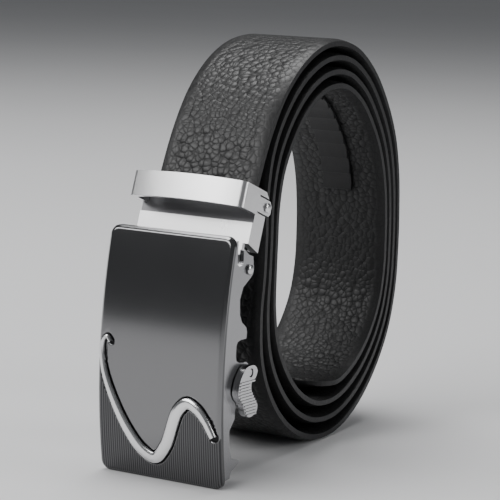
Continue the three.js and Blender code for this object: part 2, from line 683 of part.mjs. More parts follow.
function trackGeometry() {
  const teeth = Math.floor(TRACK_LENGTH / TRACK_TOOTH_PITCH);
  const first = strapLength - TRACK_TO_TIP - teeth * TRACK_TOOTH_PITCH;
  const top = -STRAP_THICKNESS / 2 - CLEARANCE;
  const rings = [];
  const addRing = (length, height) => {
    const { point, out } = strapFrame(length);
    const half = TRACK_WIDTH / 2;
    const section = [[half, top], [-half, top], [-half, top - height], [half, top - height]];
    rings.push(section.map(([x, rise]) => point.clone().addScaledVector(out, rise).setX(x)).reverse());
  };
  for (let k = 0; k < teeth; k += 1) {
    const start = first + k * TRACK_TOOTH_PITCH;
    addRing(start, TRACK_BASE);
    addRing(start + TRACK_TOOTH_PITCH * 0.5, TRACK_BASE);
    addRing(start + TRACK_TOOTH_PITCH * 0.94, TRACK_BASE + TRACK_TOOTH_HEIGHT);
  }
  addRing(first + teeth * TRACK_TOOTH_PITCH, TRACK_BASE);
  return loft(rings);
}

function mesh(name, geometry, material) {
  const shaded = geometry.clone();
  shaded.computeVertexNormals();
  const node = new THREE.Mesh(shaded, material);
  node.name = name;
  return node;
}

const buckle = new THREE.Group();
buckle.position.z = COVER_THICKNESS * Math.sin(radians(COVER_LEAN));
buckle.rotation.x = -radians(COVER_LEAN);
const waveRear = CLEARANCE - WAVE_GROOVE_DEPTH;
const coverBody = cut(solid(coverGeometry()),
  solid(waveGeometry(CLEARANCE, WAVE_HEIGHT * 2, -WAVE_GROOVE_DEPTH)));
buckle.add(mesh('cover_plate', geometryOf(coverBody), GUNMETAL));
buckle.add(mesh('wave_trim', waveGeometry(0, WAVE_HEIGHT + waveRear, waveRear), POLISHED));
buckle.add(mesh('buckle_box', boxGeometry(), STEEL));
buckle.add(mesh('release_lever', leverGeometry(), STEEL));

const boxHalf = BOX_WIDTH / 2;
const pivotPin = mesh('pivot_pin', pinGeometry(-boxHalf - CLEARANCE, boxHalf + CLEARANCE, PIN_RADIUS,
  PIN_HEAD_RADIUS, PIN_HEAD_HEIGHT), STEEL);
pivotPin.position.set(0, PIVOT_BEHIND_FACE, PIVOT_HEIGHT);
buckle.add(pivotPin);
const leverPin = mesh('lever_pin', pinGeometry(-boxHalf - PAD_THICKNESS, boxHalf + CLEARANCE, PIN_RADIUS,
  PIN_HEAD_RADIUS, PIN_HEAD_HEIGHT, true), STEEL);
leverPin.rotation.z = Math.PI;
leverPin.position.set(0, LEVER_BEHIND_FACE, LEVER_HEIGHT);
buckle.add(leverPin);

const clamp = new THREE.Group();
clamp.position.copy(pivot);
clamp.rotation.x = -radians(CLAMP_LEAN);
clamp.add(mesh('clamp_body', clampGeometry(), POLISHED));
clamp.add(mesh('clamp_lid', lidGeometry(), STEEL));
for (const [name, turn] of [['lid_rivet_left', Math.PI], ['lid_rivet_right', 0]]) {
  const outer = clampOuterHalf + CLEARANCE;
  const rivet = mesh(name, pinGeometry(outer - RIVET_LENGTH, outer, RIVET_RADIUS, RIVET_RADIUS * 1.7,
    0.7, true), POLISHED);
  rivet.rotation.z = turn;
  rivet.position.set(0, rivetY, rivetZ);
  clamp.add(rivet);
}

const belt = new THREE.Group();
belt.add(buckle, clamp);
belt.add(mesh('strap', strapGeometry(), LEATHER));
belt.add(mesh('ratchet_track', trackGeometry(), TRACK_PLASTIC));

// The belt stands with the middle of its outer box on the origin.
belt.updateMatrixWorld(true);
const bounds = new THREE.Box3().setFromObject(belt, true);
belt.position.set(-(bounds.min.x + bounds.max.x) / 2, -(bounds.min.y + bounds.max.y) / 2, -bounds.min.z);

export default belt;
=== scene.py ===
"""The looks of a rolled leather ratchet belt with its automatic buckle."""
import math

import bmesh
import bpy
import numpy as np
from mathutils import Matrix, Vector


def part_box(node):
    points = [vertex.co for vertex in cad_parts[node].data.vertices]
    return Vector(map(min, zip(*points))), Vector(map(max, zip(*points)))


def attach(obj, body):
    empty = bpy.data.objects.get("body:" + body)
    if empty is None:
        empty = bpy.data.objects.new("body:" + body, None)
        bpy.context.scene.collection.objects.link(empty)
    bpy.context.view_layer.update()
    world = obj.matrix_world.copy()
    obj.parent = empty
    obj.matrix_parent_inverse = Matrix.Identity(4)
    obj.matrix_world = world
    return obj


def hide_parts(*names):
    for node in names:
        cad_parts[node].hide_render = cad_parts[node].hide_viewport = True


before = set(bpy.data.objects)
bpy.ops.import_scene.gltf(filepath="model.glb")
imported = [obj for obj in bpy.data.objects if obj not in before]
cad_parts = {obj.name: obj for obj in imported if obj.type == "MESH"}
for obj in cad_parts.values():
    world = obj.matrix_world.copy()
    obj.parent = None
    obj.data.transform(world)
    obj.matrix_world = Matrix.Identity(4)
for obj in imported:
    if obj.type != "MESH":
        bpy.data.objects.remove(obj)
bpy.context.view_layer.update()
MM = 0.001

# The strap and its roll, in millimetres and degrees, as in the part's own solids.
STRAP_WIDTH = 35
STRAP_THICKNESS = 3
STRAP_EDGE_THICKNESS = 1.6
STRAP_SHOULDER = 3.2
STRAP_TIP_RADIUS = 12
STRAP_TIP_ROUNDNESS = 0.92
STRAP_PAINTED_SHARE = 0.13
GRAIN_FADES_FROM = 11.8
GRAIN_FADES_TO = 16.6
CLEARANCE = 0.3
ROLL_HEIGHT = 134
ROLL_LOOSEST_GAP = 2.7
ROLL_TO_BUCKLE = 76.976
ROLL_TURNS = 3.75
ROLL_JOIN_ANGLE = 140
ROLL_SAMPLES_PER_TURN = 24
ROLL_SHAPE = (  # angle, reach as a share of half the height, slack between turns as a share of the loosest
    (180, 0.706, 0.0),
    (135, 0.927, 0.56),
    (90, 1.0, 0.48),
    (45, 0.858, 0.26),
    (0, 0.766, 0.0),
    (-45, 0.896, 0.26),
    (-90, 1.0, 0.81),
    (-135, 0.91, 1.0),
)

# The clamp that carries the strap, measured from the buckle's pivot pin.
CLAMP_ANGLE = 175
CLAMP_LEAN = math.radians(20)
CLAMP_STRAP_MIDDLE = -0.8
CLAMP_FLOOR = 3.6
CLAMP_LENGTH = 24.7
CLAMP_WALL_FRONT = -3.6
CLAMP_WALL_REACH = 0.15

# The cover, with the wave across it and upright ribs below the wave.
COVER_LENGTH = 77.2
COVER_WIDTH = 44
COVER_THICKNESS = 2.2
COVER_BULGE = 4.3
COVER_CORNER = 3
COVER_CHAMFER = 0.9
COVER_CHAMFER_SOFTNESS = 0.12
COVER_LEAN = math.radians(2.3)
PIVOT_BEHIND_FACE = 13.2
PIVOT_HEIGHT = 66.3
WAVE_WIDTH = 3.6
WAVE_HEIGHT = 1.3
WAVE_SEAT_DEPTH = 0.7
GROOVE_WIDTH = 0.6
GROOVE_DEPTH = 0.6
# Painted shade in the groove: full out to the first distance from the ridge's edge, gone from the second.
GROOVE_SHADE_FULL_TO = 0.25
GROOVE_SHADE_GONE_FROM = 0.55
RIB_PITCH = 0.78
RIB_DEPTH = 0.1
RIB_RISE = 0.4
RIB_FROM_GROOVE = 0.25
RIB_FROM_CHAMFER = 0.3
WAVE_LINE = np.array((  # across from the left, down from the top, breadth; shares of the sizes above
    (0.108, 0.462, 0.3),
    (0.074, 0.443, 0.32),
    (0.041, 0.466, 0.38),
    (0.054, 0.56, 0.48),
    (0.12, 0.668, 0.66),
    (0.25, 0.806, 0.86),
    (0.375, 0.888, 1),
    (0.475, 0.908, 1),
    (0.565, 0.852, 1),
    (0.67, 0.7, 1),
    (0.745, 0.664, 0.94),
    (0.82, 0.682, 0.84),
    (0.885, 0.722, 0.74),
    (0.95, 0.785, 0.66),
))
WAVE_HOOK_ROWS = 2

# How finely the meshes are cut, in millimetres or in steps.
STRAP_STEP = 2
STRAP_TIP_STEPS = 10
STRAP_CURVE_STEPS = 16
WAVE_CURVE_STEPS = 14
EDGE_LINES = np.array([0, 0.04, 0.3, 0.6, 0.85, 1.0, 1.3, 1.8, 2.4, 3.2])
EDGE_LINES_END = 3.6
RIBBED_ROWS_FROM = 3.8
RIBBED_ROWS_TO = 44.5
RIBBED_ROW_STEP = 0.22
PLAIN_ROWS = 28
COLUMNS_PER_RIB = 4

# How the copies of the part's solids are rounded.
JOIN_DISTANCE = 0.002 * MM
FLAT_ANGLE = math.radians(1)
EDGE_ANGLE = math.radians(30)
ROUNDING_STEPS = 3
FLAT_FACE_WEIGHT = 90

# Camera: matched to the strap's two edges in the photograph, which is 500 pixels square.
CAMERA_FOCAL_PX = 2000
CAMERA_FROM_BUCKLE = (314.0, -508.035, 167.0)
CAMERA_AZIMUTH = 29.29
CAMERA_ELEVATION = 9.0
CAMERA_ROLL = -1.87
IMAGE_PX = 500
SENSOR_MM = 36

# Studio, in metres and watts.
FLOOR_REACH = 15
LIGHT_AIM = (0, 0, 0.06)
SOFTBOXES = (  # name, place, size, power
    ("overhead", (-0.3, 0.3, 1.5), (1.1, 0.8), 20),
    ("front_left", (-0.66, -1.0, 1.04), (1.8, 0.7), 20),
    ("right_side", (1.3, 0.35, 0.55), (0.6, 0.7), 6),
)
SKY_COLOUR = (0.8, 0.82, 0.85, 1)
SKY_STRENGTH = 0.16


class Value:
    """A socket in a node tree, with Python's operators as Math nodes."""

    def __init__(self, shade, socket):
        self.shade = shade
        self.socket = socket

    def maths(self, operation, *others):
        return self.shade.node("ShaderNodeMath", {"operation": operation}, dict(enumerate((self, *others))))

    def __add__(self, other):
        return self.maths("ADD", other)

    def __sub__(self, other):
        return self.maths("SUBTRACT", other)

    def __rsub__(self, other):
        return self.shade.node("ShaderNodeMath", {"operation": "SUBTRACT"}, {0: other, 1: self})

    def __mul__(self, other):
        return self.maths("MULTIPLY", other)

    def __abs__(self):
        return self.maths("ABSOLUTE")

    __radd__ = __add__

    def sine(self):
        return self.maths("SINE")

    def smooth(self, low, high):
        """0 at low, 1 at high, eased between."""
        return self.shade.node("ShaderNodeMapRange", {"interpolation_type": "SMOOTHSTEP"},
                               {"Value": self, "From Min": low, "From Max": high}, "Result")


def colour(value):
    """A colour socket's input, from a socket or from red, green and blue."""
    return value if isinstance(value, Value) else (*value, 1)


class Shade:
    """One material's node tree round its Principled shader. Scales are in waves or cells a metre."""

    def __init__(self, name, **constants):
        self.material = bpy.data.materials.new(name)
        self.material.use_nodes = True
        self.tree = self.material.node_tree
        self.shader = self.tree.nodes["Principled BSDF"]
        for socket, value in constants.items():
            self.shader.inputs[socket.replace("_", " ")].default_value = value

    def node(self, kind, settings=None, inputs=None, output=0):
        node = self.tree.nodes.new(kind)
        for key, value in (settings or {}).items():
            setattr(node, key, value)
        for key, value in (inputs or {}).items():
            if isinstance(value, Value):
                self.tree.links.new(value.socket, node.inputs[key])
            else:
                node.inputs[key].default_value = value
        return Value(self, node.outputs[output])

    def drive(self, socket, value):
        self.tree.links.new(value.socket, self.shader.inputs[socket])

    def bump(self, height, distance):
        self.drive("Normal", self.node("ShaderNodeBump", None, {"Height": height, "Distance": distance}))

    def place(self):
        return self.node("ShaderNodeTexCoord", None, None, "Object")

    def layer(self, name):
        """The flat coordinates, in metres, that a piece carries under a name."""
        return self.node("ShaderNodeUVMap", {"uv_map": name})

    def part_of(self, vector, axis):
        return self.node("ShaderNodeSeparateXYZ", None, {0: vector}, axis)

    def scaled(self, vector, factors):
        return self.node("ShaderNodeVectorMath", {"operation": "MULTIPLY"}, {0: vector, 1: factors})

    def noise(self, vector, scale, detail=3.0, roughness=0.5, output="Fac"):
        return self.node("ShaderNodeTexNoise", None,
                         {"Vector": vector, "Scale": scale, "Detail": detail, "Roughness": roughness}, output)

    def cells(self, vector, scale, feature, **more):
        return self.node("ShaderNodeTexVoronoi", {"feature": feature},
                         {"Vector": vector, "Scale": scale, **more}, "Distance")

    def warped(self, vector, scale, amount):
        """The vector pushed about by noise."""
        noise = self.noise(vector, scale, 2.0, output="Color")
        centred = self.node("ShaderNodeVectorMath", {"operation": "SUBTRACT"}, {0: noise, 1: (0.5, 0.5, 0.5)})
        moved = self.node("ShaderNodeVectorMath", {"operation": "SCALE"}, {0: centred, "Scale": amount})
        return self.node("ShaderNodeVectorMath", {"operation": "ADD"}, {0: vector, 1: moved})

    def mix(self, factor, first, second):
        """A colour between two."""
        return self.node("ShaderNodeMix", {"data_type": "RGBA"},
                         {0: factor, 6: colour(first), 7: colour(second)}, 2)


def grained_leather(name, pebble_mm, depth_mm, crease_depth, gloss):
    """Black pebbled leather, with painted shade in the valleys between its pebbles; its grain fades towards
    the strap's edges.
    """
    shade = Shade(name, Specular_IOR_Level=0.5)
    flat = shade.layer("plan")
    bent = shade.warped(shade.warped(flat, 1300, 0.14 * MM), 400, 0.6 * MM)
    pebbles = 1000 / pebble_mm
    dome = shade.cells(bent, pebbles, "SMOOTH_F1", Smoothness=0.22)
    valley = 1 - shade.cells(bent, pebbles, "DISTANCE_TO_EDGE").smooth(-0.05, 0.14)
    pulled = shade.warped(bent, 130, 3 * MM)
    crease = 1 - shade.cells(pulled, pebbles * 0.36, "DISTANCE_TO_EDGE").smooth(0.0, 0.07)
    fine = shade.noise(flat, 3200)
    wide = shade.noise(flat, 150, 2.0)
    near_edge = abs(shade.part_of(flat, "Y")).smooth(GRAIN_FADES_FROM * MM, GRAIN_FADES_TO * MM)
    fade = 1 - near_edge * 0.85
    relief = 1 - dome * dome * 1.5 - valley * 0.24 + fine * 0.05 - crease * crease_depth
    shade.bump(relief * fade + wide * 0.2, depth_mm * MM)
    # The valleys between the pebbles are painted darker: painted shade, which fades towards the edges with
    # the grain.
    black, painted_valley_shade = (0.0052, 0.0052, 0.0056), (0.001, 0.001, 0.0012)
    shade.drive("Base Color", shade.mix(valley * fade, black, painted_valley_shade))
    shade.drive("Roughness", gloss + valley * 0.22 + fine * 0.08 + crease * 0.08)
    return shade.material


def edge_paint():
    """Thick black paint that seals the strap's cut edge."""
    shade = Shade("edge_paint", Specular_IOR_Level=0.45)
    place = shade.place()
    dark, light = (0.003, 0.003, 0.0035), (0.008, 0.008, 0.009)
    shade.bump(shade.noise(place, 700), 0.12 * MM)
    shade.drive("Base Color", shade.mix(shade.noise(place, 300), dark, light))
    shade.drive("Roughness", 0.36 + shade.noise(place, 900) * 0.2)
    return shade.material


def plated(name, bright, roughness, grain=0.02):
    """Plated metal with faint polishing marks and handling smears."""
    shade = Shade(name, Metallic=1.0)
    place = shade.place()
    marks = shade.noise(shade.scaled(place, (1, 1, 7)), 1400, 2.0)
    smears = shade.noise(place, 75, 3.0, 0.6)
    shade.drive("Base Color", shade.mix(smears, tuple(c * 0.88 for c in bright), bright))
    shade.drive("Roughness", roughness + smears * 0.05 + marks * grain)
    shade.bump(marks + shade.noise(place, 240, 2.0) * 0.6, 0.006 * MM)
    return shade.material


def gunmetal():
    """The cover's dark plating: polished above the wave, a darker finish on the ribbed part below it, and
    painted shade between the ribs and in the groove.
    """
    shade = Shade("gunmetal", Metallic=1.0)
    place = shade.place()
    plan = shade.layer("plan")
    from_ridge = shade.part_of(shade.layer("ridge"), "X")
    # Painted shade in the groove round the wave, darkest next to the ridge.
    groove = 1 - from_ridge.smooth(GROOVE_SHADE_FULL_TO * MM, GROOVE_SHADE_GONE_FROM * MM)
    past_groove = from_ridge.smooth(GROOVE_WIDTH * MM, (GROOVE_WIDTH + RIB_FROM_GROOVE) * MM)
    below = shade.part_of(plan, "Y").smooth(0.0, RIB_RISE * MM) * past_groove
    rib = (shade.part_of(plan, "X") * (2 * math.pi / (RIB_PITCH * MM))).sine() * 0.5 + 0.5
    smears = shade.noise(place, 60, 3.0, 0.6)
    # The ribbed part below the wave is a darker finish; the extra darkening between the ribs is painted
    # shade.
    dark = below * (1 - rib) * 0.5 + below * 0.45
    plating = shade.mix(dark, (0.21, 0.21, 0.214), (0.03, 0.03, 0.032))
    # The groove's painted shade turns the plating nearly black.
    shade.drive("Base Color", shade.mix(groove * 0.95, plating, (0.012, 0.012, 0.013)))
    polish = 0.13 + smears * 0.04 + shade.noise(place, 1600) * 0.02
    shade.drive("Roughness", polish + below * 0.1 + groove * 0.3)
    shade.bump(smears, 0.002 * MM)
    return shade.material


def black_plastic():
    """The toothed track's matt moulding."""
    shade = Shade("track_plastic", Specular_IOR_Level=0.4)
    place = shade.place()
    dark, light = (0.006, 0.006, 0.0065), (0.014, 0.014, 0.015)
    shade.drive("Base Color", shade.mix(shade.noise(place, 400), dark, light))
    shade.drive("Roughness", 0.42 + shade.noise(place, 1500) * 0.18)
    shade.bump(shade.noise(place, 2500), 0.04 * MM)
    return shade.material


def floor_paint():
    shade = Shade("floor_paint", Roughness=0.55)
    patches = shade.noise(shade.place(), 3.0)
    shade.drive("Base Color", shade.mix(patches, (0.72, 0.72, 0.73), (0.76, 0.76, 0.765)))
    return shade.material


LEATHER_FACE = grained_leather("leather_face", 2.1, 0.28, 0.1, 0.36)
LEATHER_BACK = grained_leather("leather_back", 2.0, 0.25, 0.02, 0.44)
EDGE_PAINT = edge_paint()
POLISHED = plated("polished_metal", (0.86, 0.86, 0.865), 0.17)
BRUSHED = plated("brushed_metal", (0.86, 0.86, 0.865), 0.25)
# A darker, rougher metal for the clamp's wall behind the keeper: its darkness is painted shade in the recess.
RECESS_SHADE_METAL = plated("recess_shade_metal", (0.2, 0.2, 0.206), 0.34, 0.06)
GUNMETAL = gunmetal()
NICKEL = plated("nickel", (0.68, 0.68, 0.69), 0.2)
BOX_STEEL = plated("box_steel", (0.4, 0.4, 0.41), 0.22)
TRACK_PLASTIC = black_plastic()

# Each hard piece: its name here, material, widest rounding in millimetres, body and slot.
HARD_PIECES = {
    "ratchet_track": ("toothed_track", TRACK_PLASTIC, 0.12, "belt", "track_plastic"),
    "clamp_body": ("strap_clamp", BRUSHED, 0.25, "belt", "polished_metal"),
    "clamp_lid": ("clamp_back_plate", NICKEL, 0.2, "belt", "steel"),
    "lid_rivet_left": ("left_rivet", POLISHED, 0.08, "belt", "polished_metal"),
    "lid_rivet_right": ("right_rivet", POLISHED, 0.08, "belt", "polished_metal"),
    "buckle_box": ("buckle_frame", BOX_STEEL, 0.2, "buckle", "steel"),
    "release_lever": ("thumb_lever", NICKEL, 0.12, "lever", "steel"),
    "pivot_pin": ("hinge_pin", NICKEL, 0.08, "buckle", "steel"),
    "lever_pin": ("lever_axle", NICKEL, 0.08, "buckle", "steel"),
}


def leaning(y, z, lean):
    """A point of a frame that leans back about the X axis."""
    return np.array([0.0, y * math.cos(lean) + z * math.sin(lean), z * math.cos(lean) - y * math.sin(lean)])


# Millimetre places before the part was moved to its origin, and that move, read from the pivot pin.
BUCKLE_FOOT = np.array([0, 0, COVER_THICKNESS * math.sin(COVER_LEAN)])
PIVOT = BUCKLE_FOOT + leaning(PIVOT_BEHIND_FACE, PIVOT_HEIGHT, COVER_LEAN)
pin_low, pin_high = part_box("pivot_pin")
PART_SHIFT = (np.array(pin_low) + np.array(pin_high)) / 2 / MM - PIVOT


def new_piece(name, vertices, faces, materials, material_of_face=None, layers=None, sharp=35):
    """A mesh object from millimetre arrays, smooth apart from its sharp edges."""
    mesh = bpy.data.meshes.new(name)
    mesh.from_pydata([tuple(v) for v in np.asarray(vertices) * MM], [], [tuple(f) for f in faces])
    for material in materials:
        mesh.materials.append(material)
    if material_of_face is not None:
        mesh.polygons.foreach_set("material_index", np.asarray(material_of_face, dtype=np.int32))
    corners = np.empty(len(mesh.loops), dtype=np.int32)
    mesh.loops.foreach_get("vertex_index", corners)
    for layer_name, places in (layers or {}).items():
        layer = mesh.uv_layers.new(name=layer_name)
        layer.uv.foreach_set("vector", (np.asarray(places) * MM)[corners].astype(np.float32).ravel())
    mesh.polygons.foreach_set("use_smooth", np.ones(len(mesh.polygons), dtype=bool))
    mesh.set_sharp_from_angle(angle=math.radians(sharp))
    mesh.update()
    piece = bpy.data.objects.new(name, mesh)
    bpy.context.collection.objects.link(piece)
    return piece


def swept(rings):
    """Vertices and faces through equal rings of points, closed with a face at each end."""
    rings = np.asarray(rings)
    count, size = rings.shape[:2]
    faces = []
    for ring in range(count - 1):
        for k in range(size):
            a, b = ring * size + k, ring * size + (k + 1) % size
            faces.append((a, b, b + size, a + size))
    faces.append(tuple(range(size))[::-1])
    faces.append(tuple((count - 1) * size + k for k in range(size)))
    return rings.reshape(-1, 3), faces


def softened(node, piece_name, material, width_mm):
    """A copy of a CAD node that stands for it, its edges rounded no wider than its shortest edge allows."""
    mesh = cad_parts[node].data.copy()
    piece = bpy.data.objects.new(piece_name, mesh)
    bpy.context.collection.objects.link(piece)
    body = bmesh.new()
    body.from_mesh(mesh)
    bmesh.ops.remove_doubles(body, verts=body.verts, dist=JOIN_DISTANCE)
    bmesh.ops.dissolve_limit(body, angle_limit=FLAT_ANGLE, verts=body.verts, edges=body.edges)
    body.to_mesh(mesh)
    body.free()
    mesh.materials.clear()
    mesh.materials.append(material)
    mesh.polygons.foreach_set("use_smooth", np.ones(len(mesh.polygons), dtype=bool))
    bevel = piece.modifiers.new("rounding", "BEVEL")
    bevel.width = width_mm * MM
    bevel.segments = ROUNDING_STEPS
    bevel.limit_method = "ANGLE"
    bevel.angle_limit = EDGE_ANGLE
    bevel.use_clamp_overlap = True
    weld = piece.modifiers.new("one_point_in_one_place", "WELD")
    weld.merge_threshold = JOIN_DISTANCE
    flat_walls = piece.modifiers.new("flat_walls", "WEIGHTED_NORMAL")
    flat_walls.weight = FLAT_FACE_WEIGHT
    rounded = bpy.data.meshes.new_from_object(piece.evaluated_get(bpy.context.evaluated_depsgraph_get()))
    piece.modifiers.clear()
    piece.data = rounded
    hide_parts(node)
    return piece


def hermite(a, slope_a, b, slope_b, t):
    """A cubic from a to b with given slopes at both."""
    return ((2 * t**3 - 3 * t**2 + 1) * a + (t**3 - 2 * t**2 + t) * slope_a
            + (-2 * t**3 + 3 * t**2) * b + (t**3 - t**2) * slope_b)


def centripetal(points, steps):
    """A centripetal Catmull-Rom curve through points, with so many steps between two."""
    padded = np.vstack([2 * points[0] - points[1], points, 2 * points[-1] - points[-2]])
    curve = []
    for p0, p1, p2, p3 in zip(padded, padded[1:], padded[2:], padded[3:]):
        d0, d1, d2 = (math.sqrt(np.linalg.norm(b - a)) for a, b in ((p0, p1), (p1, p2), (p2, p3)))
        slope1 = ((p1 - p0) / d0 - (p2 - p0) / (d0 + d1) + (p2 - p1) / d1) * d1
        slope2 = ((p2 - p1) / d1 - (p3 - p1) / (d1 + d2) + (p3 - p2) / d2) * d1
        curve += [hermite(p1, slope1, p2, slope2, k / steps) for k in range(steps)]
    curve.append(points[-1])
    return np.array(curve)


def eased(value, low, high):
    """0 at low, 1 at high, eased between."""
    t = np.clip((value - low) / (high - low), 0, 1)
    return t * t * (3 - 2 * t)


def slack_pitch(slack):
    """How far apart two turns of the strap lie."""
    return STRAP_THICKNESS + CLEARANCE + slack * ROLL_LOOSEST_GAP


def turns_from_clamp(angle):
    return (CLAMP_ANGLE + 180 if angle == 180 else CLAMP_ANGLE - angle) / 360


ROLL_PITCHES = [slack_pitch(slack) for _, _, slack in ROLL_SHAPE]
ROLL_BASES = [reach * ROLL_HEIGHT / 2 + slack_pitch(slack) * turns_from_clamp(angle)
              for angle, reach, slack in ROLL_SHAPE]


def around(values, turns):
    """A smooth value round the roll from one column of its table."""
    place = (turns % 1) * len(values)
    index = math.floor(place)
    before, a, b, after = (values[(index + k) % len(values)] for k in (-1, 0, 1, 2))
    return hermite(a, (b - before) / 2, b, (after - a) / 2, place - index)


def roll_point(turns, inward_mm):
    """A point of the roll, so many turns from the clamp and so far inside its outer face."""
    angle = CLAMP_ANGLE - turns * 360
    share = (180 - angle) / 360
    reach = around(ROLL_BASES, share) - around(ROLL_PITCHES, share) * turns - inward_mm
    return reach * math.cos(math.radians(angle)), reach * math.sin(math.radians(angle))


def strap_route():
    """Points on the strap's middle line, from the clamp to the free end."""
    first = CLAMP_FLOOR + 1
    points = [PIVOT + leaning(CLAMP_STRAP_MIDDLE, first + (CLAMP_LENGTH - first) * k / 4, CLAMP_LEAN)
              for k in range(5)]
    fine = 5 * ROLL_SAMPLES_PER_TURN
    lowest = min(roll_point(k / fine, 0)[1] for k in range(fine))
    join = (CLAMP_ANGLE - ROLL_JOIN_ANGLE) / 360
    samples = round((ROLL_TURNS - join) * ROLL_SAMPLES_PER_TURN)
    for k in range(samples + 1):
        y, z = roll_point(join + (ROLL_TURNS - join) * k / samples, STRAP_THICKNESS / 2)
        points.append(np.array([0, ROLL_TO_BUCKLE + y, z - lowest]))
    return np.array(points) + PART_SHIFT


ROUTE = centripetal(strap_route(), STRAP_CURVE_STEPS)
ROUTE_LENGTHS = np.concatenate([[0], np.cumsum(np.linalg.norm(np.diff(ROUTE, axis=0), axis=1))])
STRAP_LENGTH = ROUTE_LENGTHS[-1]


def route_point(length):
    return np.array([np.interp(length, ROUTE_LENGTHS, ROUTE[:, axis]) for axis in range(3)])


def on_route(length):
    """The middle line's point and outward direction at a length from the clamp."""
    along = route_point(length + 1) - route_point(length - 1)
    along /= np.linalg.norm(along)
    return route_point(length), np.array([0, -along[2], along[1]])


def strap_section(half):
    """The strap's cut outline, across and out, with rounded and slightly padded faces."""
    edge, face = STRAP_EDGE_THICKNESS / 2, STRAP_THICKNESS / 2
    shoulder = [(half - STRAP_SHOULDER * u, edge + (face - edge) * math.sin(u * math.pi / 2))
                for u in (0.0, 0.04, 0.12, 0.25, 0.42, 0.62, 0.82, 1.0)]
    middle = [((half - STRAP_SHOULDER) * k / 4, face) for k in range(3, -4, -1)]
    top = shoulder + middle + [(-x, y) for x, y in reversed(shoulder)]
    return top + [(x, -y) for x, y in reversed(top)]


def strap_materials():
    """Which of the strap's materials each side of its section has: face 0, back 1, painted edge 2."""
    section = strap_section(STRAP_WIDTH / 2)[::-1]
    painted_from = STRAP_WIDTH / 2 - STRAP_SHOULDER * STRAP_PAINTED_SHARE
    kinds = []
    for (x0, y0), (x1, y1) in zip(section, section[1:] + section[:1]):
        is_edge = abs(x0 + x1) / 2 > painted_from
        kinds.append(2 if is_edge else 0 if y0 + y1 > 0 else 1)
    return kinds


def make_strap():
    body = STRAP_LENGTH - STRAP_TIP_RADIUS
    lengths = list(np.linspace(0, body, round(body / STRAP_STEP)))
    lengths += [body + STRAP_TIP_RADIUS * math.sin(k / STRAP_TIP_STEPS * math.pi / 2)
                for k in range(1, STRAP_TIP_STEPS + 1)]
    rings, plan = [], []
    for length in lengths:
        point, out = on_route(length)
        past = max(0.0, length - body)
        rounded_off = STRAP_TIP_RADIUS - math.sqrt(max(0.0, STRAP_TIP_RADIUS**2 - past**2))
        section = strap_section(STRAP_WIDTH / 2 - STRAP_TIP_ROUNDNESS * rounded_off)[::-1]
        rings.append([point + out * y + np.array([x, 0, 0]) for x, y in section])
        plan += [(length, x) for x, _ in section]
    material_of_face = strap_materials() * (len(rings) - 1) + [2, 2]
    piece = new_piece("leather_strap", *swept(rings), [LEATHER_FACE, LEATHER_BACK, EDGE_PAINT],
                      material_of_face, {"plan": plan}, sharp=60)
    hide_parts("strap")
    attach(piece, "belt")


def cover_arc(z):
    """How far behind its chord the cover's face lies at a height, which is less than nothing."""
    share = 2 * z / COVER_LENGTH - 1
    return -COVER_BULGE * (1 - share**2)


def on_cover(x, behind, z):
    """A point of the part from one in the buckle's own frame."""
    return PART_SHIFT + BUCKLE_FOOT + leaning(behind, z, COVER_LEAN) + np.array([x, 0, 0])


def wave_points():
    """The rows of the wave's table as places on the cover's face."""
    return np.column_stack([(WAVE_LINE[:, 0] - 0.5) * COVER_WIDTH, (1 - WAVE_LINE[:, 1]) * COVER_LENGTH])


def wave_route():
    """The wave's line on the cover's face, and half its breadth at each point."""
    route = centripetal(wave_points(), WAVE_CURVE_STEPS)
    rows = np.arange(len(route)) / WAVE_CURVE_STEPS
    halves = np.interp(rows, np.arange(len(WAVE_LINE)), WAVE_LINE[:, 2] * WAVE_WIDTH / 2)
    return route, halves


def ridge_section(half):
    """The wave's cut outline, across and out: a seat in the groove under a bevelled top."""
    rear = CLEARANCE - WAVE_SEAT_DEPTH
    shares = [(1, 0.5), (0.96, 0.62), (0.88, 0.7), (0.52, 0.93), (0.4, 0.98), (0.25, 1.0)]
    right = [(half, rear)] + [(u * half, v * WAVE_HEIGHT) for u, v in shares]
    return [(-half, rear)] + right + [(-u, v) for u, v in right[:0:-1]]


def inward(x, z):
    """How far points of the cover's face lie inside its round-cornered outline."""
    qx = abs(x) - (COVER_WIDTH / 2 - COVER_CORNER)
    qz = abs(z - COVER_LENGTH / 2) - (COVER_LENGTH / 2 - COVER_CORNER)
    round_part = np.hypot(np.maximum(qx, 0), np.maximum(qz, 0))
    return COVER_CORNER - round_part - np.minimum(np.maximum(qx, qz), 0)


def cover_grid():
    """Across and up of the points of the cover's face, a row for each height."""
    ribbed = np.arange(RIBBED_ROWS_FROM, RIBBED_ROWS_TO, RIBBED_ROW_STEP)
    plain = np.linspace(RIBBED_ROWS_TO + 1, COVER_LENGTH - 4, PLAIN_ROWS)
    heights = np.concatenate([EDGE_LINES, ribbed, plain, COVER_LENGTH - EDGE_LINES[::-1]])
    step = RIB_PITCH / COLUMNS_PER_RIB
    side = math.floor((COVER_WIDTH / 2 - EDGE_LINES_END) / step)
    rows = []
    for z in heights:
        in_corner = max(0.0, COVER_CORNER - min(z, COVER_LENGTH - z))
        half = COVER_WIDTH / 2 - COVER_CORNER + math.sqrt(max(0.0, COVER_CORNER**2 - in_corner**2))
        reach = half - COVER_WIDTH / 2 + side * step
        middle = np.linspace(-reach, reach, 2 * side + 1)
        rows.append(np.concatenate([EDGE_LINES - half, middle, half - EDGE_LINES[::-1]]))
    across = np.array(rows)
    return across, np.repeat(heights[:, None], across.shape[1], axis=1)


